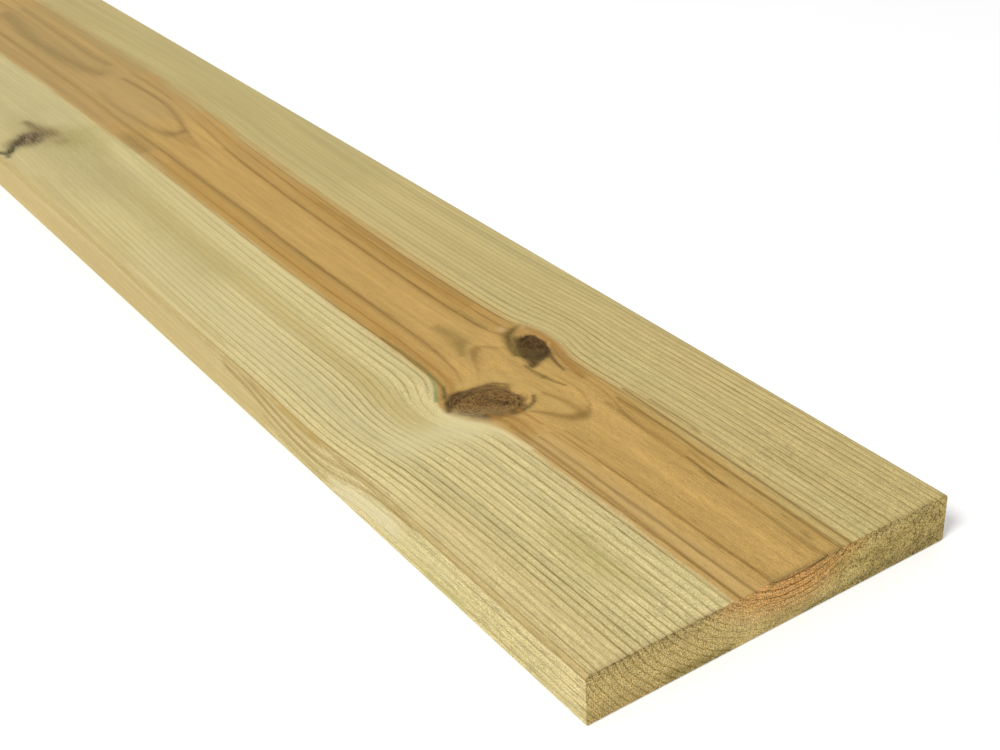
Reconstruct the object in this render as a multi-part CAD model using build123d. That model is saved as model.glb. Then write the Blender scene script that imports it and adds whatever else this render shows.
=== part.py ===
"""Planed softwood cladding board: one length of pressure-treated pine.

The board lies flat on its back face. X runs along its length, Y across its width and Z up through
its thickness. The origin is at the middle of the back face.
All sizes are in millimetres.
"""

import os

from build123d import *

# Driving dimensions
BOARD_LENGTH = 1800.0  # crosscut length, as sold
BOARD_WIDTH = 145.0  # planed width of the face
BOARD_THICKNESS = 18.0  # planed thickness
FACE_ARRIS_RADIUS = 1.5  # rounding that the planer leaves on the face's two long edges
BACK_ARRIS_RADIUS = 0.5  # the back's two long edges are only just taken off


def board_section():
    """The planed section, square to the length: a rectangle with its four arrises eased, the face's more."""
    section = Rectangle(BOARD_WIDTH, BOARD_THICKNESS)
    section = fillet(section.vertices().sort_by(Axis.Y)[-2:], FACE_ARRIS_RADIUS)
    return fillet(section.vertices().sort_by(Axis.Y)[:2], BACK_ARRIS_RADIUS)


def cladding_board():
    """The section run along the length between two square saw cuts, with the back face on Z = 0."""
    first_saw_cut = Plane(
        origin=(-BOARD_LENGTH / 2, 0, BOARD_THICKNESS / 2),
        x_dir=(0, 1, 0),
        z_dir=(1, 0, 0),
    )
    return extrude(first_saw_cut * board_section(), amount=BOARD_LENGTH)


os.makedirs("parts", exist_ok=True)
export_step(cladding_board(), "parts/cladding_board.step")
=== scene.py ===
from math import radians

import bmesh
import bpy
import numpy as np
from mathutils import Matrix, Vector, noise


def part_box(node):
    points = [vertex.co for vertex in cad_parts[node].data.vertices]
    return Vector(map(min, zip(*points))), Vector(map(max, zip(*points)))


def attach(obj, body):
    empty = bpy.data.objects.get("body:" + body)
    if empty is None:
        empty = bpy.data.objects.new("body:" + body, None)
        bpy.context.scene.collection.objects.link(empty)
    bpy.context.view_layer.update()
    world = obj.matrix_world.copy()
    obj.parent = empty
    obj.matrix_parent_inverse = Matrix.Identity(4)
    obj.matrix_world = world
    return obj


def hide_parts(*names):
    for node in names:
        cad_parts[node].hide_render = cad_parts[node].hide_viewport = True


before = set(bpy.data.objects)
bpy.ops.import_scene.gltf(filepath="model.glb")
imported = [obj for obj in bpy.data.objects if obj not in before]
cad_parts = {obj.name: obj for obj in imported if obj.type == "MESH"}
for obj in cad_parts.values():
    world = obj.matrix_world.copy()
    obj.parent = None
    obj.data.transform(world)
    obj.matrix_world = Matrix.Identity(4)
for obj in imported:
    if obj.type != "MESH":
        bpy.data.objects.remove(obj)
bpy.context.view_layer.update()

# The plank: one length of pine, sawn from the side of a log, planed on four sides and crosscut square.
# The planer eases the four long arrises, the face's more than the back's.
# Sizes are in millimetres: along from the near end, across from the right arris, height from the back.
MM = 0.001
BOARD = "cladding_board"
low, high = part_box(BOARD)
LENGTH, WIDTH, THICKNESS = (high - low) / MM
FACE_ARRIS, BACK_ARRIS = 1.5, 0.5  # radii
ARRIS_FACETS = 4
CELLS = (12.0, 2.5, 3.0)  # the mesh's cells along, across and up
SHARP = radians(50)  # an edge that turns more than this is a real corner
TOUCHING = MM / 10  # nearer than this counts as the same place
FINE_ZONES = (
    # Where the figure turns sharply: along, across, heights, and the cuts to each cell along and across
    ((95, 205), (29, 106), (17, 19), 14, 4),
    ((13, 95), (29, 96), (17, 19), 4, 4),
    ((205, 721), (29, 96), (17, 19), 1, 3),
    ((95, 205), (19, 121), (-1, 1), 3, 1),
    ((467, 529), (99, 146), (17, 19), 9, 4),
    ((59, 241), (144.9, 146), (-1, 17), 2, 4),
    ((755, 841), (9, 124), (17, 19), 3, 1),
    ((755, 841), (9, 124), (-1, 1), 3, 1),
    ((1199, 1297), (44, 146), (17, 19), 3, 1),
    ((1199, 1297), (44, 146), (-1, 1), 3, 1),
    ((1619, 1705), (14, 66), (17, 19), 3, 1),
    ((1619, 1705), (4, 66), (-1, 1), 3, 1),
    ((-1, 13), (-1, WIDTH + 1), (-1, THICKNESS + 1), 4, 4),
    ((LENGTH - 13, LENGTH + 1), (-1, WIDTH + 1), (-1, THICKNESS + 1), 4, 2),
)

plank = bmesh.new()
bmesh.ops.create_cube(plank, size=1.0)
bmesh.ops.scale(plank, vec=high - low, verts=plank.verts)
bmesh.ops.translate(plank, vec=(low + high) / 2, verts=plank.verts)
for axis, cell in enumerate(CELLS):
    spans = [e for e in plank.edges if abs((e.verts[0].co - e.verts[1].co)[axis]) > cell * MM]
    cuts = round((LENGTH, WIDTH, THICKNESS)[axis] / cell) - 1
    bmesh.ops.subdivide_edges(plank, edges=spans, cuts=cuts, use_grid_fill=True)
for radius, level in ((FACE_ARRIS, high.z), (BACK_ARRIS, low.z)):
    arrises = [
        e for e in plank.edges
        if e.calc_face_angle() > SHARP
        and e.verts[0].co.x != e.verts[1].co.x
        and all(abs(v.co.z - level) < TOUCHING for v in e.verts)
    ]
    bmesh.ops.bevel(
        plank, geom=arrises, offset=radius * MM, segments=ARRIS_FACETS,
        profile=0.5, affect="EDGES", material=-1,
    )
for *box, cuts_along, cuts_across in FINE_ZONES:
    start, stop = (Vector(corner) * MM + low for corner in zip(*box))
    for cuts, lengthwise in ((cuts_along, True), (cuts_across, False)):
        inside = {v for v in plank.verts if all(a < c < b for a, c, b in zip(start, v.co, stop))}
        edges = [
            e for e in plank.edges
            if inside.issuperset(e.verts)
            and (abs(e.verts[0].co.x - e.verts[1].co.x) > TOUCHING) == lengthwise
        ]
        bmesh.ops.subdivide_edges(plank, edges=edges, cuts=cuts, use_grid_fill=True)
for edge in plank.edges:
    edge.smooth = edge.calc_face_angle(0) < SHARP

# The plank's map for baking: a strip for each long side, and one for both ends.
# The grain is long and narrow, so a strip has more pixels across the plank than along it.
MARGIN, GAP = 0.005, 0.012
END_STRIP, EDGE_STRIP, BACK_STRIP, FACE_STRIP = 0.055, 0.055, 0.30, 0.475
END_RUN, FAR_END_START = 0.485, 0.505  # the two ends share one strip
END_FACING = 0.7  # a facet whose normal has this much of the length in it belongs to an end
bake_map = plank.loops.layers.uv.new("OFBake")
for facet in plank.faces:
    facet.smooth = True
    nx, ny, nz = facet.normal
    is_end = abs(nx) > END_FACING
    facet.material_index = int(is_end)
    if is_end:
        start, run = (0.0 if nx < 0 else FAR_END_START), END_RUN
        base, rise = MARGIN, END_STRIP
    elif abs(ny) > abs(nz):
        start, run = 0.0, 1 - 2 * MARGIN
        base, rise = MARGIN + END_STRIP + GAP + (EDGE_STRIP + GAP) * (ny > 0), EDGE_STRIP
    else:
        start, run = 0.0, 1 - 2 * MARGIN
        base = MARGIN + END_STRIP + 2 * EDGE_STRIP + 3 * GAP + (BACK_STRIP + GAP) * (nz > 0)
        rise = FACE_STRIP if nz > 0 else BACK_STRIP
    for loop in facet.loops:
        share = [c / size for c, size in zip(loop.vert.co - low, high - low)]
        right = share[1] if is_end else share[0]
        up = share[1] if not is_end and abs(nz) >= abs(ny) else share[2]
        loop[bake_map].uv = (MARGIN + start + run * right, base + rise * up)
mesh = bpy.data.meshes.new(BOARD + "_dressed")
plank.to_mesh(mesh)
plank.free()
board = bpy.data.objects.new(BOARD + "_dressed", mesh)
bpy.context.scene.collection.objects.link(board)
corners = np.empty(len(mesh.vertices) * 3)
mesh.vertices.foreach_get("co", corners)
along, across, height = ((corners.reshape(-1, 3) - np.array(low)) / MM).T

# The log that the plank was sawn from. Its pith runs some 20 mm above the plank's face and wanders a little.
# The rings are wide near the pith and narrow outside, and wider on the left of the pith than on the right.
PITH_ACROSS = (  # each of these goes by stations along the plank
    (0, 64), (100, 63.5), (160, 65.5), (220, 67.3), (300, 66.8), (340, 65.7), (400, 64.1),
    (440, 62.2), (480, 59.7), (520, 58.8), (700, 59), (1100, 66), (1800, 72),
)
PITH_ABOVE = (
    (0, 21), (100, 20.4), (160, 20.9), (220, 21), (300, 20.8), (340, 20.7), (400, 20.5), (440, 19.8),
    (460, 19.2), (490, 17.4), (520, 16.6), (570, 16), (700, 14), (1000, 19), (1400, 16), (1800, 24),
)
EASING, EASING_STEPS = 40.0, 9  # how far the wander's corners are rounded off, along
SQUEEZE_LEFT, SQUEEZE_RIGHT = 0.8, 0.9
RING_COUNTS = (  # radius, and the rings inside it
    (0, 0), (15.5, 3), (19.5, 4), (23, 5), (26, 6), (28.4, 7), (30.5, 8), (32.5, 9), (67, 26), (104, 51)
)
HEART_LEFT = (  # across, where the heart's colour ends on the face
    (0, 91), (60, 90.2), (110, 89.8), (200, 91.3), (260, 91), (300, 90.3), (380, 88.5),
    (460, 88), (500, 89), (580, 87.8), (1100, 96), (1800, 101),
)
HEART_RIGHT = (
    (0, 49), (50, 45.5), (100, 41.5), (200, 44.5), (260, 44.5), (300, 42.5), (380, 40.5),
    (460, 37), (500, 33.5), (540, 32.5), (600, 34), (1100, 36), (1800, 44),
)
# How gradually the heart's colour ends
HEART_EDGE_LEFT = ((0, 0.8), (300, 1.0), (420, 1.9), (700, 1.6), (1800, 1.0))
HEART_EDGE_RIGHT = (
    (0, 4.5), (60, 3.8), (110, 3.0), (180, 2.2), (400, 2.4), (520, 4.0), (700, 3.0), (1800, 2.2),
)
# How strong the rings' lines are in the sapwood, along and across, and in the heart
LINE_ALONG = (
    (0, 0.98), (100, 0.98), (220, 0.8), (300, 0.55), (360, 0.36), (420, 0.24), (480, 0.16), (700, 0.15),
    (820, 0.8), (1800, 0.9),
)
LINE_ACROSS = ((0, 1.15), (40, 1.0), (95, 0.9), (112, 1.0), (126, 1.15), (145, 1.2))
LINE_ON_EDGES = 0.5
LINE_BY_RING = ((3, 0.7), (4, 0.9), (5, 0.65), (6, 0.75), (7, 1.05), (8, 0.95), (9, 0.85), (10, 1.0))
LINE_IN_HEART = (
    (0, 1.05), (120, 1.0), (220, 1.15), (400, 0.95), (480, 0.4), (700, 0.4), (820, 0.9), (1800, 1.0),
)
# How calm the sapwood on the right is, and how crisp the fine grain is
CALM_RIGHT = ((0, 1.0), (150, 1.0), (250, 0.65), (700, 0.65), (820, 1.0), (1800, 1.0))
CRISP = (
    (0, 1.4), (60, 1.1), (120, 0.9), (200, 0.6), (350, 0.34), (480, 0.18), (700, 0.16), (850, 0.8),
    (1800, 1.0),
)
CRISP_ON_EDGES, SMOOTHER_HEART = 1.6, 0.25
SIDE_BLEND = 10.0  # how far from the pith the left's character turns into the right's
ROUND_AT = 30.0  # the radius at which a place round the log is in true millimetres


def eased(at, stations):
    """A value that goes from station to station along the plank, with its corners rounded."""
    stops, values = zip(*stations)
    shifts = np.linspace(-EASING, EASING, EASING_STEPS)
    return np.mean([np.interp(at + shift, stops, values) for shift in shifts], axis=0)


pith_across, pith_above = eased(along, PITH_ACROSS), eased(along, PITH_ABOVE)
sideways = across - pith_across
sideways = sideways * np.where(sideways > 0, SQUEEZE_LEFT, SQUEEZE_RIGHT)
upwards = height - THICKNESS - pith_above
radius = np.hypot(sideways, upwards)

# The knots: branches that grew out from the pith and lean towards the tree's top, which is at the far end.
# The rings bulge outwards round each of them, more steeply on the near side, and their lines are faint there.
LEAN = 0.41
BULGE_NEAR, BULGE_FAR, BULGE_ASIDE = 10.0, 13.0, 22.0
BULGE_WIDENS = 25.0  # the distance aside over which the bulge grows twice as long
FAINT_NEAR_SAP, FAINT_NEAR_HEART, FAINTEST = 0.8, 0.9, 0.9  # how far and how much the lines fade by a knot
KNOTS = (
    # Place on the face, half the length along the grain, half the breadth, turn, bulge of the rings, darkness
    dict(along=161, across=48.7, length=9.7, breadth=5.2, turn=6, bulge=3.4, dark=1.0),
    dict(along=138, across=85.5, length=12.2, breadth=9.6, turn=3, bulge=7.2, dark=0.5),
    dict(along=786, across=31, length=7.5, breadth=6.0, turn=8, bulge=5.0, dark=0.8),
    dict(along=806, across=97, length=10.0, breadth=8.0, turn=-10, bulge=6.0, dark=0.5),
    dict(along=1236, across=74, length=9.0, breadth=8.0, turn=0, bulge=6.5, dark=0.6),
    dict(along=1258, across=117, length=7.0, breadth=5.5, turn=-12, bulge=4.5, dark=0.85),
    dict(along=1660, across=40, length=9.5, breadth=7.0, turn=10, bulge=6.0, dark=0.55),
)
REACH = 2.2  # in knot sizes, how far out a knot's own pattern is drawn
FAR_OFF = 99.0  # in knot sizes, for wood that no knot is near

grown = radius.copy()
knot_spot = np.zeros((len(along), 3))
knot_dark = np.zeros(len(along))
nearest = np.full(len(along), FAR_OFF)
for knot in KNOTS:
    foot = np.array([knot["along"]])
    middle, above = eased(foot, PITH_ACROSS)[0], eased(foot, PITH_ABOVE)[0]
    reach = np.hypot(knot["across"] - middle, above)
    axis = (knot["across"] - middle) / reach, -above / reach
    out = (across - middle) * axis[0] + (height - THICKNESS - above) * axis[1]
    aside = (across - middle) * axis[1] - (height - THICKNESS - above) * axis[0]
    grain = along - knot["along"] - LEAN * (out - reach)
    spread = np.where(grain < 0, BULGE_NEAR, BULGE_FAR) * (1 + np.abs(aside) / BULGE_WIDENS)
    grown -= knot["bulge"] * np.exp(-(grain / spread) ** 2) / (1 + (aside / BULGE_ASIDE) ** 2) * (out > 0)
    c, s = np.cos(radians(knot["turn"])), np.sin(radians(knot["turn"]))
    spot = np.stack([grain * c + aside * s, aside * c - grain * s], axis=1)
    spot /= knot["length"], knot["breadth"]
    size = np.hypot(*spot.T)
    closer = (size < nearest) & (out > 0)
    nearest[closer] = size[closer]
    knot_spot[closer, :2] = spot[closer]
    knot_dark[closer] = knot["dark"]
knot_spot[:, 2] = np.clip(REACH - nearest, 0, 1)
log_place = np.stack([along, sideways * grown / radius, upwards * grown / radius], axis=1)
rings = np.interp(grown, *zip(*RING_COUNTS))
side_share = np.tanh(sideways / SIDE_BLEND)
heart_left = np.hypot((eased(along, HEART_LEFT) - pith_across) * SQUEEZE_LEFT, pith_above)
heart_right = np.hypot((eased(along, HEART_RIGHT) - pith_across) * SQUEEZE_RIGHT, pith_above)
heart = heart_right + (heart_left - heart_right) * (0.5 + 0.5 * side_share) - grown
heart /= np.where(sideways > 0, eased(along, HEART_EDGE_LEFT), eased(along, HEART_EDGE_RIGHT))
in_heart = 1 / (1 + np.exp(-heart))
by_knot = np.exp(-(np.maximum(nearest - 1, 0) / (FAINT_NEAR_SAP + FAINT_NEAR_HEART * in_heart)) ** 2)
sap_lines = eased(along, LINE_ALONG) * np.interp(across, *zip(*LINE_ACROSS))
on_arris = THICKNESS - FACE_ARRIS, THICKNESS
sap_lines *= np.interp(height, on_arris, (LINE_ON_EDGES, 1.0))
calm_right = np.where(sideways < 0, eased(along, CALM_RIGHT), 1.0)
calm_right = 1 - (1 - calm_right) * (1 - in_heart)
sap_lines *= calm_right
heart_lines = eased(along, LINE_IN_HEART) * np.interp(rings, *zip(*LINE_BY_RING))
lines = sap_lines + (heart_lines - sap_lines) * in_heart
lines *= 1 - FAINTEST * by_knot
crisp = eased(along, CRISP) * np.interp(height, on_arris, (CRISP_ON_EDGES, 1.0))
crisp *= (1 - SMOOTHER_HEART * in_heart) * calm_right
round_log = np.stack([np.arctan2(sideways, -upwards) * ROUND_AT, grown, along], axis=1)


# The marks on the face: resin streaks and dark tails by the knots, green where the preservative gathered,
# cream wood that was pushed aside by the large knot, and a bark pocket far up the left side.
def linear(hex_colour):
    """An sRGB hex colour as linear RGBA."""
    parts = [int(hex_colour[i:i + 2], 16) / 255 for i in (1, 3, 5)]
    return [c / 12.92 if c <= 0.04045 else ((c + 0.055) / 1.055) ** 2.4 for c in parts] + [1.0]


def from_line(points, first, second):
    """Each vertex's distance from a line in two of its places, and its place along that line, from 0 to 1."""
    points = np.array(points, float)
    gaps, shares = [], []
    for i, (start, run) in enumerate(zip(points, np.diff(points, axis=0))):
        share = np.clip(((first - start[0]) * run[0] + (second - start[1]) * run[1]) / (run @ run), 0, 1)
        gaps.append(np.hypot(first - start[0] - share * run[0], second - start[1] - share * run[1]))
        shares.append((i + share) / (len(points) - 1))
    pick = np.argmin(gaps, axis=0), np.arange(len(first))
    return np.array(gaps)[pick], np.array(shares)[pick]


CLOSE = 0.01  # millimetres, nearer than this is the same place
BARE = "#B99A5E"  # under the marks, where there are none
stain = np.tile(np.array(linear(BARE)[:3] + [0.0]), (len(along), 1))
on_face = np.clip(height - THICKNESS + FACE_ARRIS, 0, 1)


def tint(colour, strength):
    """Lays a colour over the marks so far."""
    strength = np.clip(strength, 0, 1)
    total = strength + stain[:, 3] * (1 - strength)
    share = np.divide(strength, total, out=np.zeros_like(total), where=total > 0)
    stain[:, :3] += (np.array(linear(colour)[:3]) - stain[:, :3]) * share[:, None]
    stain[:, 3] = total


def paint(strokes, where, first, second):
    """Lays soft strokes over the marks so far, by two of the places."""
    for colour, strength, start, stop, points in strokes:
        gap, share = from_line(points, first, second)
        tint(colour, where * strength * np.exp(-(gap / (start + (stop - start) * share)) ** 2))


CREAM, HONEY, ROSE, AMBER = "#E5D59E", "#CBAB63", "#D2AF7E", "#A5793A"
RESIN, OLIVE, MOSS, UMBER, SOOT, COPPER = "#86662C", "#6B5825", "#62612A", "#503A18", "#3A2A10", "#3F8858"
STREAKS = (  # colour, strength, half width at the start and at the end, points along and across
    # Broad tints: browner sapwood along the left, pale wood by the large knot, dull heart far up
    ("#BDA664", 0.6, 5.0, 5.0, ((440, 108), (300, 110.5), (200, 111), (130, 113))),
    ("#BCA266", 0.5, 1.8, 1.8, ((450, 139), (330, 139), (240, 140))),
    ("#BFA66A", 0.4, 1.2, 1.2, ((430, 133), (340, 134.5))),
    ("#C2AA70", 0.4, 4.0, 3.0, ((480, 142), (330, 143))),
    ("#B8A66C", 0.5, 20.0, 16.0, ((520, 118), (400, 117), (300, 118))),
    ("#B2A358", 0.5, 7.0, 6.0, ((56, 111), (30, 110))),
    ("#CCAF78", 0.3, 9.0, 9.0, ((90, 136), (0, 136))),
    ("#DDD09E", 0.78, 8.0, 9.0, ((128, 101), (134, 122))),
    ("#D3C596", 0.4, 9.0, 9.0, ((330, 130), (150, 128))),
    ("#B49A66", 0.55, 27.0, 24.0, ((720, 60), (500, 60))),
    ("#C5BC88", 0.5, 6.0, 6.0, ((620, 95), (520, 96))),
    ("#AE9360", 0.5, 4.0, 3.5, ((700, 82), (500, 83))),
    ("#AE9662", 0.5, 5.0, 5.0, ((720, 37), (560, 37))),
    ("#B78E46", 0.45, 4.5, 5.5, ((345, 47.5), (270, 50), (205, 50.5))),
    ("#B88F46", 0.6, 4.0, 3.8, ((420, 83), (340, 84.5), (280, 85.5), (205, 86))),
    ("#8A7440", 0.6, 4.5, 4.5, ((470, 83), (446, 84))),
    (RESIN, 0.45, 1.2, 1.2, ((440, 76.8), (400, 77.6), (340, 78.6), (280, 79.2), (205, 79.3))),
    (RESIN, 0.32, 1.4, 1.4, ((330, 47), (280, 46.6), (240, 47), (205, 48))),
    (RESIN, 0.32, 1.1, 1.1, ((300, 51.4), (260, 51.6), (205, 51.6))),
    (RESIN, 0.35, 1.2, 1.4, ((420, 51.5), (340, 54.6), (280, 55.6), (240, 56.6), (205, 56))),
    ("#C09A58", 0.7, 2.4, 2.4, ((446, 59.6), (420, 60.2))),
    ("#B6A878", 0.5, 22.0, 22.0, ((640, 118), (420, 118))),
    ("#AD9C66", 0.42, 17.0, 17.0, ((720, 15), (350, 15))),
    ("#B3A364", 0.5, 6.0, 7.0, ((452, 104), (474, 98))),
    ("#B9A26E", 0.4, 2.5, 2.5, ((433, 131), (426, 131))),
    # Duller wood on the right of the heart by the near end, and its broken lines
    ("#B8954E", 0.4, 5.0, 6.0, ((110, 45), (60, 46), (0, 47))),
    ("#D8B87A", 0.5, 5.5, 5.5, ((105, 83.5), (0, 84.5))),
    ("#785820", 0.8, 0.5, 0.5, ((116, 40.6), (90, 41.2), (70, 41.6), (40, 42.2), (0, 43.2))),
    ("#785820", 0.75, 0.5, 0.5, ((112, 46.2), (95, 45.5), (80, 45.2), (70, 46.1), (40, 46.6), (0, 47.6))),
    (RESIN, 0.75, 0.5, 0.5, ((104, 37.7), (88, 38.2))),
    (RESIN, 0.75, 0.5, 0.5, ((85, 37.5), (77, 38.1))),
    (RESIN, 0.75, 0.5, 0.4, ((56, 37.6), (50, 38.8))),
    (RESIN, 0.4, 0.5, 0.6, ((110, 47.2), (98, 46.6), (88, 47.0))),
    (RESIN, 0.45, 0.5, 0.4, ((70, 48.4), (57, 49.6))),
    (RESIN, 0.45, 1.0, 0.7, ((112, 51.2), (90, 51), (70, 51.2))),
    (UMBER, 0.75, 0.5, 0.6, ((68, 51.4), (60, 52), (54, 52.5), (46, 52.7))),
    (RESIN, 0.5, 0.4, 0.4, ((58, 53.8), (50, 54.3))),
    (RESIN, 0.4, 0.5, 0.5, ((68, 57), (57, 56.8))),
    (RESIN, 0.6, 0.5, 0.5, ((26, 53.4), (14, 54.4), (3, 55))),
    (RESIN, 0.5, 0.4, 0.4, ((20, 55.6), (8, 56.2))),
    (UMBER, 0.6, 0.4, 0.4, ((13, 51), (8, 51.3))),
    (RESIN, 0.5, 0.4, 0.4, ((24, 49.4), (10, 50))),
    (RESIN, 0.5, 0.5, 0.4, ((106, 73.9), (95, 73.2))),
    ("#6F6A34", 0.6, 0.6, 0.5, ((93, 73.1), (87, 73.5))),
    (RESIN, 0.3, 0.5, 0.5, ((40, 73.6), (35, 74.2))),
    (RESIN, 0.6, 0.5, 0.5, ((108, 83), (90, 82.5), (70, 82.8), (45, 82.4), (25, 82.8), (0, 82.2))),
    (RESIN, 0.65, 0.8, 0.7, ((120, 87), (104, 86.2), (80, 86.3), (55, 86.9), (30, 87.5), (0, 88.1))),
    (RESIN, 0.4, 0.5, 0.5, ((108, 78.2), (80, 77.4))),
    (RESIN, 0.35, 0.4, 0.4, ((42, 79.2), (36, 79.7))),
    # The ring's loop far up the heart, where it meets the face, and the dull bands beyond it
    ("#8A6C3C", 0.55, 1.3, 1.6, ((555, 50), (540, 49), (520, 48), (505, 48), (490, 49), (478, 51), (466, 54),
                                 (457, 57.4))),
    ("#7C6336", 0.65, 3.0, 3.0, ((457, 58), (454, 60.5), (459, 65))),
    ("#8A6C3C", 0.2, 2.2, 1.6, ((458, 65), (468, 69.5), (500, 70.5), (540, 69))),
    ("#96793F", 0.45, 1.2, 1.0, ((560, 43), (540, 42), (505, 42.5))),
    ("#8F7546", 0.5, 2.2, 2.4, ((720, 47.5), (640, 48.5), (600, 48.5), (580, 46.5))),
    ("#8C7646", 0.6, 5.0, 5.0, ((720, 60), (680, 63), (650, 65), (610, 64), (588, 61), (570, 57))),
    ("#93783F", 0.55, 1.8, 1.4, ((720, 76), (560, 75.6), (500, 77), (440, 77))),
    # The cream wood below the large knot, and lighter wood between the knots
    (CREAM, 0.8, 3.4, 1.2, ((139, 101), (131, 98.5), (124, 93.5), (118, 91.5), (104, 90))),
    (HONEY, 0.45, 3.0, 2.5, ((150, 72), (143, 69), (136, 66.5), (130, 64))),
    (HONEY, 0.4, 3.0, 3.0, ((153, 86), (152, 76))),
    # A darker rim of heart on the left, and a smudge between the knots
    (AMBER, 0.6, 1.8, 1.4, ((203, 87.2), (170, 86.6), (158, 87.6), (152, 90))),
    (RESIN, 0.3, 0.8, 0.5, ((203, 79.5), (180, 80), (165, 81), (156, 84))),
    ("#93793E", 0.75, 2.0, 4.2, ((197, 68.6), (190, 67.8), (181.5, 67.6))),
    ("#93793E", 0.7, 2.6, 1.4, ((180, 69), (172.5, 72.8))),
    # Round the small knot: the wing above it, its tails, the spur, the rim below and the far crescent
    (AMBER, 0.75, 1.8, 2.2, ((178, 42), (168, 40.2), (160, 40.2), (152, 42.2), (143, 44.4), (132, 46.4))),
    (RESIN, 0.6, 0.7, 0.4, ((158, 41.8), (150, 44.6), (143, 46.2), (131, 47.2))),
    ("#4A3616", 0.85, 1.3, 0.5, ((156, 45), (150.5, 47.2), (146, 48.4), (139.5, 49.4))),
    ("#5E4A22", 0.9, 3.4, 1.2, ((157, 52), (152.5, 54.4), (148.6, 57.2))),
    ("#4E3C1C", 0.9, 2.4, 1.5, ((153.4, 48.5), (151, 53), (149.4, 56.6))),
    ("#523E1C", 0.85, 2.4, 1.7, ((161, 54), (155, 54.8), (150, 55.8))),
    (OLIVE, 0.65, 1.2, 2.6, ((177.6, 44.4), (177, 47), (175, 50.2))),
    (UMBER, 0.45, 0.9, 1.2, ((177, 46), (175.8, 49), (172.5, 52.2))),
    (OLIVE, 0.85, 2.2, 1.6, ((175, 50.2), (171, 53), (166, 55.4), (160, 57))),
    (UMBER, 0.6, 0.7, 1.0, ((176.4, 47), (174.4, 50.5), (171, 52.6), (166, 54.6))),
    (OLIVE, 0.85, 1.5, 2.0, ((171, 49.6), (167, 53), (160, 55.6))),
    (ROSE, 0.7, 1.6, 1.2, ((180, 49.8), (178.8, 50))),
    (ROSE, 0.5, 1.0, 1.0, ((177.6, 41.4), (176, 42.6))),
    (OLIVE, 0.75, 0.8, 1.2, ((151, 59), (146, 58.8), (140, 58))),
    (OLIVE, 0.75, 1.2, 0.6, ((140, 58), (135, 57), (130.5, 55.6))),
    (MOSS, 0.35, 1.3, 1.3, ((203, 54.4), (193, 54.6), (185, 54))),
    # The loop and the hook at the near side of the large knot
    (HONEY, 0.6, 2.2, 1.8, ((127, 66.2), (115, 65.4))),
    (RESIN, 0.55, 1.0, 1.9, ((131, 64.8), (122, 62.2), (115, 61.4), (110.5, 62.2))),
    (RESIN, 0.6, 2.3, 2.3, ((111.4, 62.8), (109, 64.2), (111, 66.4))),
    (RESIN, 0.6, 1.9, 1.0, ((110.8, 66.6), (116, 70.4), (120, 73), (123.4, 75.6))),
    (UMBER, 0.85, 0.9, 1.3, ((131.6, 68.8), (128.3, 71), (126.6, 74.5), (126, 79))),
    # Brown tufts of grain that run into the large knot, its dark rim, and the green line that runs up from it
    (AMBER, 0.8, 1.2, 0.5, ((127, 78.6), (121, 78), (114, 77.6))),
    (AMBER, 0.85, 1.5, 0.5, ((127, 83.5), (121, 82.8), (110, 82.8))),
    (AMBER, 0.85, 1.4, 0.5, ((129, 88), (122, 86.4), (112, 86.2))),
    ("#70552C", 0.85, 2.8, 2.4, ((143, 73.8), (146.4, 76.6), (148, 83))),
    (UMBER, 0.6, 0.5, 0.7, ((144, 71.6), (147.4, 74.6), (149, 78))),
    (SOOT, 0.5, 1.6, 1.8, ((139.5, 83.5), (134, 80))),
    (SOOT, 0.6, 1.6, 1.2, ((147, 90), (144, 95.5))),
    ("#94794C", 0.5, 2.4, 2.6, ((134, 88), (129, 83))),
    (SOOT, 0.6, 0.6, 0.9, ((146, 75.5), (148.8, 79.5), (149.3, 85), (150, 89))),
    (SOOT, 0.75, 1.3, 1.1, ((150, 89), (149.5, 92.5), (147, 96), (141.5, 98.6))),
    (MOSS, 0.75, 0.5, 0.9, ((203, 90), (190, 89.5), (175, 89.6), (165, 90.4), (157, 91.4), (150.5, 94.6))),
    (UMBER, 0.6, 0.4, 1.2, ((157, 91.2), (153, 92.8), (150, 95.4))),
    (COPPER, 0.75, 0.3, 0.7, ((168, 91), (163, 92), (158, 94), (154, 96.4), (150, 98.8))),
)
# The left arris is rubbed brown, and the left edge browns slowly away from the near end
ARRIS_BROWN, ARRIS_STRENGTH, ARRIS_AT, ARRIS_BREADTH = "#A48A50", 0.72, 144.6, 1.0
EDGE_BROWN, EDGE_STRENGTH, EDGE_FROM, EDGE_OVER = "#B99D5E", 0.35, 100, 250
above_edge = height > THICKNESS - FACE_ARRIS - CLOSE
tint(ARRIS_BROWN, ARRIS_STRENGTH * np.exp(-((across - ARRIS_AT) / ARRIS_BREADTH) ** 2) * above_edge)
tint(EDGE_BROWN, EDGE_STRENGTH * np.clip((along - EDGE_FROM) / EDGE_OVER, 0, 1) * (across > WIDTH - CLOSE))
paint(STREAKS, on_face, along, across)

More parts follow.
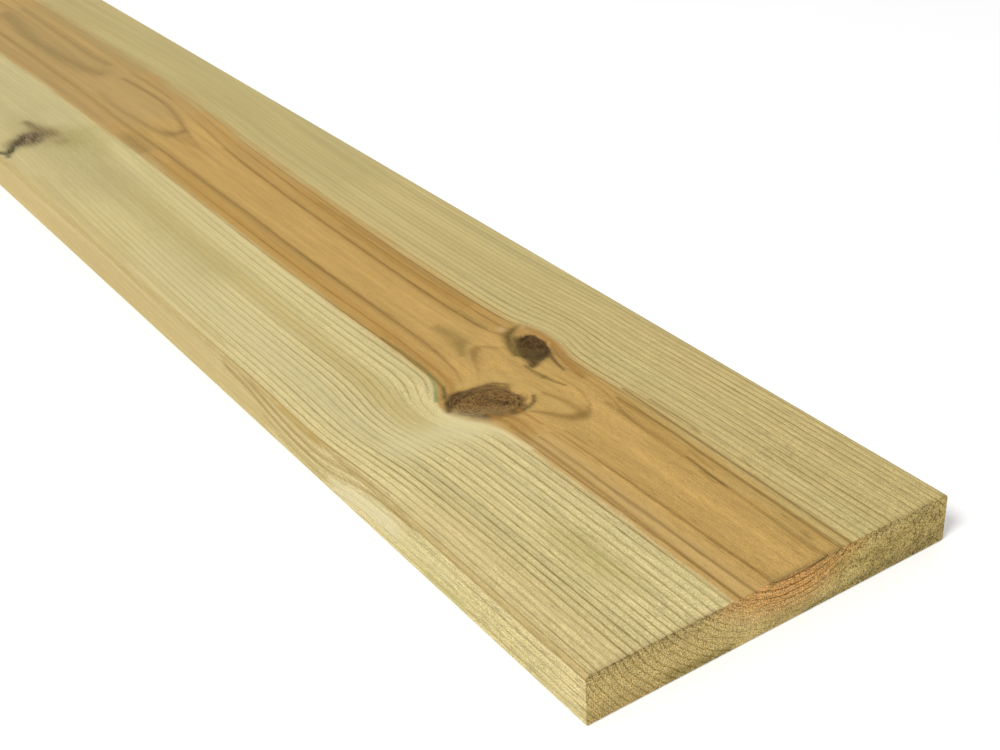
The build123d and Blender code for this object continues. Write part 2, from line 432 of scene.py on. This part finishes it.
# The bark pocket: bark that the tree grew over, now open cracks with brown wood round them.
# It runs slantwise to the left arris and is deepest there.
SMEARS = (  # the brown and green round the cracks, as the streaks above
    ("#ADA15F", 0.65, 9.0, 8.0, ((490, 100), (476, 106))),
    ("#CFC390", 0.6, 6.0, 6.0, ((528, 104), (514, 103))),
    ("#9A8652", 0.7, 6.0, 6.0, ((503, 112), (484, 112))),
    ("#836D45", 0.9, 2.4, 5.0, ((524, 117), (512, 116), (499, 114))),
    ("#78623C", 0.9, 6.5, 6.5, ((504, 120), (494, 126), (498, 131))),
    ("#5F4B30", 0.9, 3.0, 3.4, ((503, 118.5), (494, 122))),
    ("#4E3B2A", 0.95, 4.2, 3.8, ((504, 125), (496, 131))),
    ("#434126", 0.95, 3.0, 2.4, ((494, 134.5), (487, 139))),
    ("#57502F", 0.85, 1.8, 1.6, ((488, 139.5), (482, 141))),
    ("#4C4A28", 0.85, 2.2, 2.6, ((488, 140), (493, 144.5))),
)
CRACKS = (((502, 120), (496, 122)), ((502, 127), (496.5, 132)), ((491, 136), (488, 139.5), (490, 144.5)))
CRACK_DEPTHS = 0.6, 1.1, 1.8
CRACK_WIDTH = 1.3
BARK, BARK_STRENGTH, BARK_SPREAD = "#42341F", 0.5, 2
JAG_ALONG, JAG_ACROSS, JAG_WIDENS, JAG_SEED = 4.0, 3.0, 1.8, 7  # the cracks' ragged sides
NARROWEST = 0.25
LIP = 1.15  # a crack's floor is flat for a little of its width
GROOVE_DEPTH, GROOVE_BREADTH = 0.25, 0.12  # round each knot, the breadth in knot sizes
paint(SMEARS, on_face, along, across)
jagged = np.array([
    noise.noise(Vector((a / JAG_ALONG, b / JAG_ACROSS, JAG_SEED))) for a, b in zip(along, across)
])
rise = -GROOVE_DEPTH * np.exp(-((nearest - 1.0) / GROOVE_BREADTH) ** 2) * on_face
for points, crack_depth in zip(CRACKS, CRACK_DEPTHS):
    gap, share = from_line(points, along, across)
    open_by = np.clip(LIP - gap / np.maximum(CRACK_WIDTH + JAG_WIDENS * jagged, NARROWEST), 0, 1) * on_face
    tint(BARK, np.clip(open_by * BARK_SPREAD, 0, BARK_STRENGTH))
    rise = np.minimum(rise, -crack_depth * np.sqrt(open_by))

# The left edge's shades, by places along and up: the lines that swerve past the large knot, the brown wood
# beyond it and the cream wood before it.
on_left_edge = np.clip((across - WIDTH) / FACE_ARRIS + 1, 0, 1) * (height < THICKNESS)
EDGE_SHADES = (
    ("#C6AC70", 0.6, 8.0, 8.0, ((520, 8), (250, 8), (200, 7))),
    ("#C8AE70", 0.5, 6.0, 5.0, ((198, 15), (160, 15))),
    ("#EADFB6", 0.6, 4.0, 4.5, ((143, 3), (128, 7), (104, 9))),
    ("#E2D49E", 0.4, 3.0, 3.0, ((100, 8), (70, 9))),
    ("#BDB674", 0.6, 2.0, 2.2, ((86, 1.5), (64, 2.5))),
    ("#B0914C", 0.85, 1.2, 1.5, ((186, 17.4), (168, 16.2), (152, 16.8))),
    ("#A18343", 0.9, 0.9, 0.8, ((212, 17), (200, 15.6), (188, 13.6), (175, 11.8), (160, 11.2), (150, 12.2),
                                (140, 14.2), (128, 16.6))),
    ("#A18343", 0.9, 1.0, 0.7, ((230, 14.6), (208, 13), (196, 10.6), (185, 8.8), (172, 7.6), (160, 7.4),
                                (150, 7.8), (141, 9.6), (132, 12), (122, 14.2), (112, 15.6), (90, 16.2))),
    ("#A98C4F", 0.7, 0.9, 0.7, ((196, 6.4), (182, 4.4), (170, 3.2), (158, 2.8), (150, 3.6))),
)
paint(EDGE_SHADES, on_left_edge, along, height)

# The near end's shades, by places across and up. The sawn end is green and brown, darker along the bottom and
# up the right, with painted shade in a dark band along the top edge, under the torn splinters.
END_SHADES = (
    ("#8F7A3E", 0.4, 3.0, 3.0, ((143, 2.0), (112, 2.0))),
    ("#766D2E", 0.85, 2.6, 2.0, ((114, 2.0), (104, 1.4), (91, 0.8))),
    ("#988344", 0.5, 3.0, 3.0, ((76, 2.5), (60, 2.0))),
    ("#585026", 0.8, 1.4, 2.0, ((60, 0.2), (48, 0.8), (38, 1.4))),
    ("#B9A552", 0.5, 5.5, 5.0, ((46, 11), (38, 9), (30, 9))),
    ("#886C22", 0.7, 7.0, 8.0, ((26, 9), (3, 9))),
    ("#463D12", 0.95, 2.6, 3.0, ((37, 1.2), (28, 2.0), (15, 1.6), (2, 2.6))),
    # Painted shade: a dark band with blotches along the top edge, under the torn splinters
    ("#5A4C2C", 0.6, 1.0, 1.0, ((36, 17), (22, 16.9), (6, 17))),
    ("#6A5836", 0.6, 0.5, 0.5, ((143, 17.6), (96, 17.7))),
    ("#76663A", 0.75, 0.9, 0.9, ((76, 17.5), (46, 17.4))),
)
paint(END_SHADES, np.abs(along) < CLOSE, across, height)

# What the two wood materials read at each point of the plank: its place in the log, its ring, the heart,
# the knots, and the marks.
for name, kind, values in (
    ("log_place", "FLOAT_VECTOR", log_place),
    ("rings", "FLOAT", rings),
    ("lines", "FLOAT", lines),
    ("heart", "FLOAT", heart),
    ("side", "FLOAT", side_share),
    ("knot_spot", "FLOAT_VECTOR", knot_spot),
    ("knot_dark", "FLOAT", knot_dark),
    ("crisp", "FLOAT", crisp),
    ("stain", "FLOAT_COLOR", stain),
    ("round_log", "FLOAT_VECTOR", round_log),
):
    field = mesh.attributes.new(name, kind, "POINT")
    slot_of = {"FLOAT": "value", "FLOAT_VECTOR": "vector", "FLOAT_COLOR": "color"}[kind]
    field.data.foreach_set(slot_of, values.astype(np.float32).ravel())

# The sawn ends: a coarse crosscut, made from the back, that left the cut face rough and tore splinters out of
# the face's edge, most in the soft early wood of each ring.
ROUGH_DEPTH, TORN_DEPTH, TORN_DROP = 0.12, 0.5, 0.35
COARSE, FINE, SPLINTERS = 0.9, 2.1, 0.45  # the noises' scales, to the millimetre
push = np.zeros(len(along))
for end, way in ((0.0, 1.0), (LENGTH, -1.0)):
    for i in np.flatnonzero(np.abs(along - end) < CLOSE):
        spot = Vector((across[i], height[i], end))
        push[i] = way * ROUGH_DEPTH * abs(noise.noise(spot * COARSE) + noise.noise(spot * FINE))
        if height[i] > THICKNESS - CLOSE:
            torn = max(0.0, noise.noise(spot * SPLINTERS) + (0.5 - rings[i] % 1) / 2)
            push[i] += way * TORN_DEPTH * torn
            rise[i] -= TORN_DROP * torn
moved = np.stack([along + push, across, height + rise], axis=1) * MM + np.array(low)
mesh.vertices.foreach_set("co", moved.ravel())
mesh.update()


# Planed pine, pressure treated and left bare: pale early wood and olive-brown late wood in each ring, and a
# brown heart. It looks matt and dry, with fine fibres along the grain that the planer lifted here and there.
def add(material, kind, inputs=(), **settings):
    """One node with its settings, and its inputs in order or by name: values, nodes or outputs."""
    node = material.node_tree.nodes.new("ShaderNode" + kind)
    for name, value in settings.items():
        if name == "stops":
            while len(node.color_ramp.elements) < len(value):
                node.color_ramp.elements.new(1.0)
            for element, (stop, shade) in zip(node.color_ramp.elements, value):
                element.position = stop
                element.color = (shade, shade, shade, 1.0)
        else:
            setattr(node, name, value)
    sockets = [s for s in node.inputs if s.enabled]
    for key, value in inputs.items() if isinstance(inputs, dict) else enumerate(inputs):
        socket = sockets[key] if isinstance(key, int) else next(s for s in sockets if s.name == key)
        if isinstance(value, bpy.types.Node):
            value = next(s for s in value.outputs if s.enabled)
        if isinstance(value, bpy.types.NodeSocket):
            material.node_tree.links.new(value, socket)
        else:
            socket.default_value = value
    return node


SAP_EARLY, SAP_LATE = "#DFCE94", "#95793A"
SAP_GREEN, SAP_RIGHT = "#D0C487", "#CFBB7F"
HEART_INNER, HEART_OUTER, HEART_LATE = "#C9A35E", "#C19A57", "#75521D"
KNOT_PALE, KNOT_DEEP = "#93703C", "#3B2500"
GRAINS = dict(
    # Streaks in the wood: length along the grain and breadth across it, in millimetres, and detail.
    # Real fibres are ten times finer than the finest of these, which are drawn so that they show.
    wander=(150, 9, 2), fuzz=(7, 0.45, 3), fading=(120, 5, 2), patches=(90, 13, 2), ragged=(30, 2, 3),
    fibres=(9, 0.45, 3), dashes=(4, 0.5, 1), flecks=(5, 0.5, 1), canals=(22, 0.5, 1), speckle=(0.6, 0.24, 2),
    streaks=(160, 2.6, 3), bands=(300, 7, 2), doubling=(90, 4, 1),
)
APART = 7.3  # keeps each noise away from the others
LATE_WOOD = ((0, 0.05), (0.1, 0.14), (0.25, 0.55), (0.33, 1), (0.4, 0.9), (0.47, 0.08), (0.85, 0), (1, 0.05))
FALSE_RING = ((0, 0.4), (0.08, 1), (0.2, 0), (0.8, 0), (1, 0.4))
KNOT_COLLAR = ((0, 0.35), (0.5, 0.1), (0.8, 0.4), (0.95, 0.9), (1, 0.8))

pine = bpy.data.materials.new("planed_pressure_treated_pine")
pine.use_nodes = True
pine.node_tree.nodes.clear()
place, count, strength, depth, side, spot, dark = (
    add(pine, "Attribute", attribute_name=name).outputs[kind]
    for name, kind in (("log_place", "Vector"), ("rings", "Fac"), ("lines", "Fac"), ("heart", "Fac"),
                       ("side", "Fac"), ("knot_spot", "Vector"), ("knot_dark", "Fac"))
)
grain = {}
for number, (name, (length, breadth, detail)) in enumerate(GRAINS.items()):
    sizes = (1 / length, 1 / breadth, 1 / breadth)
    scaled = add(pine, "VectorMath", (place, sizes, (number * APART,) * 3), operation="MULTIPLY_ADD")
    grain[name] = add(pine, "TexNoise", {"Vector": scaled, "Scale": 1.0, "Detail": detail}).outputs["Fac"]

# The rings: each year's late wood is a thin line, stronger in some years, with a false ring here and there
moved_ring = add(pine, "Math", (grain["wander"], 0.5, count), operation="MULTIPLY_ADD")
moved_ring = add(pine, "Math", (grain["fuzz"], 0.18, moved_ring), operation="MULTIPLY_ADD")
season = add(pine, "Math", (moved_ring,), operation="FRACT")
year = add(pine, "Math", (moved_ring,), operation="FLOOR")
late = add(pine, "ValToRGB", (season,), stops=LATE_WOOD).outputs["Color"]
vigour = add(pine, "TexWhiteNoise", {"W": year}, noise_dimensions="1D").outputs["Value"]
vigour = add(pine, "MapRange", (vigour, 0, 1, 0.75, 1.0))
fading = add(pine, "MapRange", (grain["fading"], 0.3, 0.7, 0.5, 1.1))
doubled = add(pine, "Math", (moved_ring, 2.0, 0.28), operation="MULTIPLY_ADD")
doubled = add(pine, "Math", (doubled,), operation="FRACT")
doubled = add(pine, "ValToRGB", (doubled,), stops=FALSE_RING).outputs["Color"]
doubling = add(pine, "MapRange", (grain["doubling"], 0.46, 0.64, 0, 0.7))
doubled = add(pine, "Math", (doubled, doubling), operation="MULTIPLY")
late = add(pine, "Math", (late, doubled), operation="MAXIMUM")
drive = add(pine, "Math", (vigour, fading), operation="MULTIPLY")
drive = add(pine, "Math", (drive, strength), operation="MULTIPLY")
thin = add(pine, "Math", (late, 2.0), operation="POWER")
thin = add(pine, "Math", (thin, drive), operation="MULTIPLY", use_clamp=True)
late = add(pine, "Math", (late, drive), operation="MULTIPLY", use_clamp=True)
# The colours of the sapwood and the heart
to_right = add(pine, "MapRange", (side, 0.6, -0.8, 0, 1))
early = add(pine, "Mix", (to_right, linear(SAP_EARLY), linear(SAP_RIGHT)), data_type="RGBA")
patches = add(pine, "MapRange", (grain["patches"], 0.45, 0.7, 0, 0.45))
early = add(pine, "Mix", (patches, early, linear(SAP_GREEN)), data_type="RGBA")
sap = add(pine, "Mix", (late, early, linear(SAP_LATE)), data_type="RGBA")
outer = add(pine, "MapRange", (count, 4.6, 5.6, 0, 1))
core = add(pine, "Mix", (outer, linear(HEART_INNER), linear(HEART_OUTER)), data_type="RGBA")
core = add(pine, "Mix", (thin, core, linear(HEART_LATE)), data_type="RGBA")
mottled = add(pine, "MapRange", (grain["ragged"], 0.3, 0.7, 0.93, 1.06))
core = add(pine, "VectorMath", (core, mottled), operation="MULTIPLY")
ragged = add(pine, "Math", (grain["ragged"], 2.4, depth), operation="MULTIPLY_ADD")
inside = add(pine, "MapRange", (ragged, 0.2, 2.2, 0, 1), interpolation_type="SMOOTHSTEP")
wood = add(pine, "Mix", (inside, sap, core), data_type="RGBA")
# The fibres: dashes and flecks where the planer tore or lifted them, resin canals, and broad streaks
fibres = add(pine, "MapRange", (grain["fibres"], 0.3, 0.7, 0.88, 1.10))
dashes = add(pine, "MapRange", (grain["dashes"], 0.60, 0.74, 1.0, 0.78))
flecks = add(pine, "MapRange", (grain["flecks"], 0.62, 0.74, 1.0, 1.16))
canals = add(pine, "MapRange", (grain["canals"], 0.66, 0.76, 1.0, 0.7))
speckle = add(pine, "MapRange", (grain["speckle"], 0.3, 0.7, 0.8, 1.2))
streaks = add(pine, "MapRange", (grain["streaks"], 0.3, 0.7, 0.92, 1.08))
relief = add(pine, "Math", (fibres, dashes), operation="MULTIPLY")
relief = add(pine, "Math", (relief, speckle), operation="MULTIPLY")
relief = add(pine, "Math", (relief, flecks), operation="MULTIPLY")
relief = add(pine, "Math", (relief, canals), operation="MULTIPLY")
rough = add(pine, "Attribute", attribute_name="crisp").outputs["Fac"]
relief = add(pine, "Math", (relief, 1.0), operation="SUBTRACT")
relief = add(pine, "Math", (relief, rough, 1.0), operation="MULTIPLY_ADD")
bands = add(pine, "MapRange", (grain["bands"], 0.3, 0.7, 0.94, 1.05))
shade = add(pine, "Math", (relief, streaks), operation="MULTIPLY")
shade = add(pine, "Math", (shade, bands), operation="MULTIPLY")
wood = add(pine, "VectorMath", (wood, shade), operation="MULTIPLY")

# The knots: their own fine rings, blotches of resin, and a ragged dark rim
weight = add(pine, "SeparateXYZ", (spot,)).outputs["Z"]
flat_spot = add(pine, "VectorMath", (spot, (1, 1, 0)), operation="MULTIPLY")
knot_size = add(pine, "VectorMath", (flat_spot,), operation="LENGTH").outputs["Value"]
bearing = add(pine, "VectorMath", (flat_spot,), operation="NORMALIZE")
bearing = add(pine, "SeparateXYZ", (bearing,)).outputs
turned = add(pine, "CombineXYZ", (bearing["X"], bearing["Y"], knot_size))
ringlets_at = add(pine, "VectorMath", (turned, (1.5, 1.5, 8)), operation="MULTIPLY")
ringlets = add(pine, "TexNoise", {"Vector": ringlets_at, "Scale": 1.0, "Detail": 3.0}).outputs["Fac"]
blotches = add(pine, "TexNoise", {"Vector": spot, "Scale": 2.4, "Detail": 4.0}).outputs["Fac"]
hairs_at = add(pine, "VectorMath", (turned, (5, 5, 20)), operation="MULTIPLY")
hairs = add(pine, "TexNoise", {"Vector": hairs_at, "Scale": 1.0, "Detail": 3.0}).outputs["Fac"]
rim = add(pine, "Math", (blotches, 0.35, knot_size), operation="MULTIPLY_ADD")
rim = add(pine, "Math", (hairs, 0.25, rim), operation="MULTIPLY_ADD")
spikes_at = add(pine, "VectorMath", (turned, (2.5, 2.5, 1)), operation="MULTIPLY")
spikes = add(pine, "TexNoise", {"Vector": spikes_at, "Scale": 1.0, "Detail": 4.0}).outputs["Fac"]
rim = add(pine, "Math", (spikes, 0.3, rim), operation="MULTIPLY_ADD")
in_knot = add(pine, "MapRange", (rim, 1.59, 1.29, 0, 1), interpolation_type="SMOOTHSTEP")
in_knot = add(pine, "Math", (in_knot, weight), operation="MULTIPLY")
deep = add(pine, "Math", (ringlets, 1.0, dark), operation="MULTIPLY_ADD")
swing = add(pine, "MapRange", (dark, 0.5, 1.0, 3.2, 1.2))
hairs = add(pine, "Math", (hairs, 0.5), operation="SUBTRACT")
deep = add(pine, "Math", (hairs, swing, deep), operation="MULTIPLY_ADD")
deep = add(pine, "Math", (blotches, 1.5, deep), operation="MULTIPLY_ADD")
collar = add(pine, "ValToRGB", (knot_size,), stops=KNOT_COLLAR).outputs["Color"]
deep = add(pine, "Math", (collar, 0.45, deep), operation="MULTIPLY_ADD")
deep = add(pine, "MapRange", (deep, 1.4, 2.5, 0, 1))
knot_wood = add(pine, "Mix", (deep, linear(KNOT_PALE), linear(KNOT_DEEP)), data_type="RGBA")
wood = add(pine, "Mix", (in_knot, wood, knot_wood), data_type="RGBA")

# The marks, broken up along the fibres
marks = add(pine, "Attribute", attribute_name="stain").outputs
broken = add(pine, "MapRange", (grain["fuzz"], 0.3, 0.6, 0.7, 1.0))
broken = add(pine, "Math", (broken, marks["Alpha"]), operation="MULTIPLY")
wood = add(pine, "Mix", (broken, wood, marks["Color"]), data_type="RGBA")
bump = add(pine, "Bump", {"Strength": 0.5, "Distance": 0.3 * MM, "Height": relief})
surface = add(pine, "BsdfPrincipled", {
    "Base Color": wood, "Roughness": 0.62, "IOR": 1.5, "Specular IOR Level": 0.12, "Normal": bump,
})
add(pine, "OutputMaterial", {"Surface": surface})
mesh.materials.append(pine)

# Sawn end grain: the crosscut tears the fibre ends, so the same pine is darker, duller and pitted there.
# The rings show as arcs round the pith, with rows of open cells along them.
END_SAP, END_SAP_LATE, END_HEART, END_HEART_LATE = "#DDC482", "#B49750", "#E8B36C", "#98612A"
# The torn colour is the dark of torn wood, with painted shade under the top edge's splinters
END_PIT, END_TORN_AND_SHADE, END_FLECK = "#6A5624", "#5C4A2E", "#EFD880"
ends = bpy.data.materials.new("sawn_pine_end_grain")
ends.use_nodes = True
ends.node_tree.nodes.clear()
count = add(ends, "Attribute", attribute_name="rings").outputs["Fac"]
cut = add(ends, "Attribute", attribute_name="round_log").outputs["Vector"]
marks = add(ends, "Attribute", attribute_name="stain").outputs
here = add(ends, "TexCoord").outputs["Object"]
here = add(ends, "VectorMath", {"Vector": here, "Scale": 1 / MM}, operation="SCALE")
END_LATE_WOOD = (
    (0, 0.1), (0.1, 0.25), (0.2, 0.05), (0.45, 0.2), (0.56, 1), (0.63, 0.9), (0.71, 0.1), (1, 0.1),
)
TORN_BY_RING = ((0, 0.6), (0.14, 0.5), (0.26, 0.1), (0.34, 0.1), (0.5, 1), (0.7, 1), (1, 0.6))
SPECKS = dict(
    # What each follows, and its sizes in millimetres: round the pith and out from it, or across and up
    rays=(cut, 0.45, 3.0), cells=(cut, 2.4, 0.4), pits=(here, 0.8, 0.8), motes=(cut, 1.0, 0.8),
    grit=(here, 0.4, 0.4), tufts=(here, 3.0, 3.0), clouds=(here, 14, 14),
)
END_APART = 5.7
speck = {}
for number, (name, (vector, breadth, depth)) in enumerate(SPECKS.items()):
    sizes = (1 / breadth, 1 / depth, 1 / depth)
    scaled = add(ends, "VectorMath", (vector, sizes, (number * END_APART,) * 3), operation="MULTIPLY_ADD")
    speck[name] = add(ends, "TexNoise", {"Vector": scaled, "Scale": 1.0, "Detail": 2.0}).outputs["Fac"]
# The arcs of late wood, fainter towards the right, in sapwood and in the heart
moved_ring = add(ends, "Math", (speck["clouds"], 0.7, count), operation="MULTIPLY_ADD")
moved_ring = add(ends, "Math", (speck["pits"], 0.5, moved_ring), operation="MULTIPLY_ADD")
season = add(ends, "Math", (moved_ring,), operation="FRACT")
late = add(ends, "ValToRGB", (season,), stops=END_LATE_WOOD).outputs["Color"]
sides = add(ends, "SeparateXYZ", (here,)).outputs
faint = add(ends, "MapRange", (sides["Y"], -30, -46, 1.0, 0.3))
late = add(ends, "Math", (late, faint), operation="MULTIPLY")
scallops = add(ends, "ValToRGB", (season,), stops=TORN_BY_RING).outputs["Color"]
to_left = add(ends, "MapRange", (sides["Y"], 10, 22, 0.2, 1.0))
calm_below = add(ends, "MapRange", (sides["Y"], 12, 30, 0.35, 1.0))
sap_late = add(ends, "Math", (late, calm_below), operation="MULTIPLY")
sap = add(ends, "Mix", (sap_late, linear(END_SAP), linear(END_SAP_LATE)), data_type="RGBA")
to_right = add(ends, "MapRange", (sides["Y"], 18, -8, 0.35, 1.25))
core_late = add(ends, "Math", (late, to_right), operation="MULTIPLY")
core = add(ends, "Mix", (core_late, linear(END_HEART), linear(END_HEART_LATE)), data_type="RGBA")
out = add(ends, "SeparateXYZ", (cut,)).outputs["Y"]
ragged = add(ends, "Math", (speck["tufts"], 3.0, out), operation="MULTIPLY_ADD")
inside = add(ends, "MapRange", (ragged, 41.0, 28.0, 0, 1), interpolation_type="SMOOTHSTEP")
wood = add(ends, "Mix", (inside, sap, core), data_type="RGBA")
# The rays across the rings, the rows of cells along them, and the saw's grit
rays = add(ends, "MapRange", (speck["rays"], 0.3, 0.7, 0.86, 1.14))
cells = add(ends, "MapRange", (speck["cells"], 0.3, 0.7, -0.45, 0.45))
dashed = add(ends, "Math", (inside, to_right), operation="MULTIPLY")
dashed = add(ends, "MapRange", (dashed, 0, 1, 0.25, 1.0))
cells = add(ends, "Math", (cells, dashed, 1.0), operation="MULTIPLY_ADD")
clouds = add(ends, "MapRange", (speck["clouds"], 0.3, 0.7, 1.07, 1.17))
grit = add(ends, "MapRange", (speck["grit"], 0.3, 0.7, 0.28, 1.72))
grainy = add(ends, "Math", (rays, cells), operation="MULTIPLY")
grainy = add(ends, "Math", (grainy, grit), operation="MULTIPLY")
shade = add(ends, "Math", (grainy, clouds), operation="MULTIPLY")
wood = add(ends, "VectorMath", (wood, shade), operation="MULTIPLY")
# The marks' shades, then the dark torn wood along the top edge, partly painted shade under its splinters
broken = add(ends, "MapRange", (speck["motes"], 0.38, 0.56, 0.4, 1.0))
streaky = add(ends, "MapRange", (late, 0, 1, 0.75, 1.25))
broken = add(ends, "Math", (broken, streaky), operation="MULTIPLY")
broken = add(ends, "Math", (broken, marks["Alpha"]), operation="MULTIPLY", use_clamp=True)
wood = add(ends, "Mix", (broken, wood, marks["Color"]), data_type="RGBA")
# Darker towards the top edge: torn wood, and painted shade under the torn splinters
torn = add(ends, "Math", (speck["tufts"], 5.0, sides["Z"]), operation="MULTIPLY_ADD")
torn = add(ends, "MapRange", (torn, 14.5, 21.5, 0.0, 0.65))
torn = add(ends, "Math", (torn, scallops), operation="MULTIPLY")
torn = add(ends, "Math", (torn, to_left), operation="MULTIPLY")
ripped = add(ends, "MapRange", (speck["pits"], 0.58, 0.44, 0.3, 1.3))
torn = add(ends, "Math", (torn, ripped), operation="MULTIPLY", use_clamp=True)
wood = add(ends, "Mix", (torn, wood, linear(END_TORN_AND_SHADE)), data_type="RGBA")
# Pale flecks, clumps and pits, most on the right
rough = add(ends, "MapRange", (sides["Y"], -12, -28, 0.15, 1.0))
flecks = add(ends, "MapRange", (speck["motes"], 0.55, 0.62, 0, 0.85))
flecks = add(ends, "Math", (flecks, rough), operation="MULTIPLY")
wood = add(ends, "Mix", (flecks, wood, linear(END_FLECK)), data_type="RGBA")
clumps = add(ends, "MapRange", (speck["tufts"], 0.35, 0.5, 0.32, 0))
clumps = add(ends, "Math", (clumps, rough), operation="MULTIPLY")
wood = add(ends, "Mix", (clumps, wood, linear(END_PIT)), data_type="RGBA")
pitted = add(ends, "MapRange", (speck["pits"], 0.47, 0.39, 0, 1))
deepest = add(ends, "MapRange", (sides["Y"], -14, -32, 0.25, 0.7))
pitted = add(ends, "Math", (pitted, deepest), operation="MULTIPLY")
wood = add(ends, "Mix", (pitted, wood, linear(END_PIT)), data_type="RGBA")
bump = add(ends, "Bump", {"Strength": 0.6, "Distance": 0.4 * MM, "Height": grainy})
surface = add(ends, "BsdfPrincipled", {
    "Base Color": wood, "Roughness": 0.8, "IOR": 1.5, "Specular IOR Level": 0.12, "Normal": bump,
})
add(ends, "OutputMaterial", {"Surface": surface})
mesh.materials.append(ends)
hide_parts(BOARD)
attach(board, "root")

# The floor: a plain pale sheet of paper that the plank lies on. It keeps the plank's shadow, and it is white
# to the camera and in reflections.
FLOOR_SIZE = 12.0
FLOOR_BELOW = 0.3 * MM
FLOOR_GLOW = 0.16
PAPER, PAPER_SEEN = "#E7E7E7", "#FCFCFC"
floor_mesh = bpy.data.meshes.new("floor")
floor_bm = bmesh.new()
bmesh.ops.create_grid(floor_bm, x_segments=1, y_segments=1, size=FLOOR_SIZE / 2)
bmesh.ops.translate(floor_bm, vec=(0, 0, low.z - FLOOR_BELOW), verts=floor_bm.verts)
floor_bm.to_mesh(floor_mesh)
floor_bm.free()
floor = bpy.data.objects.new("floor", floor_mesh)
bpy.context.scene.collection.objects.link(floor)
paper = bpy.data.materials.new("white_paper_sweep")
paper.use_nodes = True
paper.node_tree.nodes.clear()
rays = add(paper, "LightPath").outputs
seen = add(paper, "Math", (rays["Is Camera Ray"], rays["Is Glossy Ray"]), operation="MAXIMUM")
seen = add(paper, "Math", (seen, rays["Is Transmission Ray"]), operation="MAXIMUM")
matt = add(paper, "BsdfDiffuse", {"Color": linear(PAPER)})
bright = add(paper, "BsdfDiffuse", {"Color": linear(PAPER_SEEN)})
glow = add(paper, "Emission", {"Strength": FLOOR_GLOW})
white = add(paper, "AddShader", (bright, glow))
mixed = add(paper, "MixShader", (seen, matt, white))
add(paper, "OutputMaterial", {"Surface": mixed})
floor_mesh.materials.append(paper)

# The light: a broad soft lamp from the left and above, and an even white surround that fills the shadows.
# It is at a plain level, so that the wood's colours come out about as they are written.
SURROUND = 0.62
LAMP_FROM = Vector((-0.24, 0.62, 0.745))
LAMP_AIM = Vector((-0.6, 0, 0))
LAMP_AWAY = 4.0
LAMP_SIZE = 1.2
LAMP_WATTS = 98.0
world = bpy.data.worlds.new("white_surround")
bpy.context.scene.world = world
world.use_nodes = True
world.node_tree.nodes.clear()
rays = add(world, "LightPath").outputs
seen = add(world, "Math", (rays["Is Camera Ray"], rays["Is Glossy Ray"]), operation="MAXIMUM")
seen = add(world, "Math", (seen, rays["Is Transmission Ray"]), operation="MAXIMUM")
level = add(world, "MapRange", (seen, 0, 1, SURROUND, 1.0))
sky = add(world, "Background", {"Strength": level})
add(world, "OutputWorld", {"Surface": sky})
lamp_data = bpy.data.lights.new("soft_lamp", "AREA")
lamp_data.energy = LAMP_WATTS
lamp_data.size = LAMP_SIZE
lamp = bpy.data.objects.new("soft_lamp", lamp_data)
lamp.location = LAMP_AIM + LAMP_FROM.normalized() * LAMP_AWAY
lamp.rotation_euler = LAMP_FROM.to_track_quat("Z", "Y").to_euler()
bpy.context.scene.collection.objects.link(lamp)

# The camera: at the near end, to the left of the plank and above it. It sees the face, the left edge and the
# near end, and the plank runs out of the picture beyond 0.7 m.
CAMERA_AT = Vector((-1.1681, 0.2704, 0.3098))
CAMERA_LOOKS = Vector((0.72405, -0.4711, -0.50381))
CAMERA_ROLL = radians(-2.7)
CAMERA_LENS, CAMERA_SENSOR = 56.65, 36.0
NEAREST_SEEN = 0.01
camera_data = bpy.data.cameras.new("camera")
camera_data.lens = CAMERA_LENS
camera_data.sensor_width = CAMERA_SENSOR
camera_data.sensor_fit = "HORIZONTAL"
camera_data.clip_start = NEAREST_SEEN
camera = bpy.data.objects.new("camera", camera_data)
turn = CAMERA_LOOKS.to_track_quat("-Z", "Y").to_matrix() @ Matrix.Rotation(CAMERA_ROLL, 3, "Z")
camera.matrix_world = Matrix.Translation(CAMERA_AT) @ turn.to_4x4()
bpy.context.scene.collection.objects.link(camera)
bpy.context.scene.camera = camera
bpy.context.scene.view_settings.view_transform = "Standard"
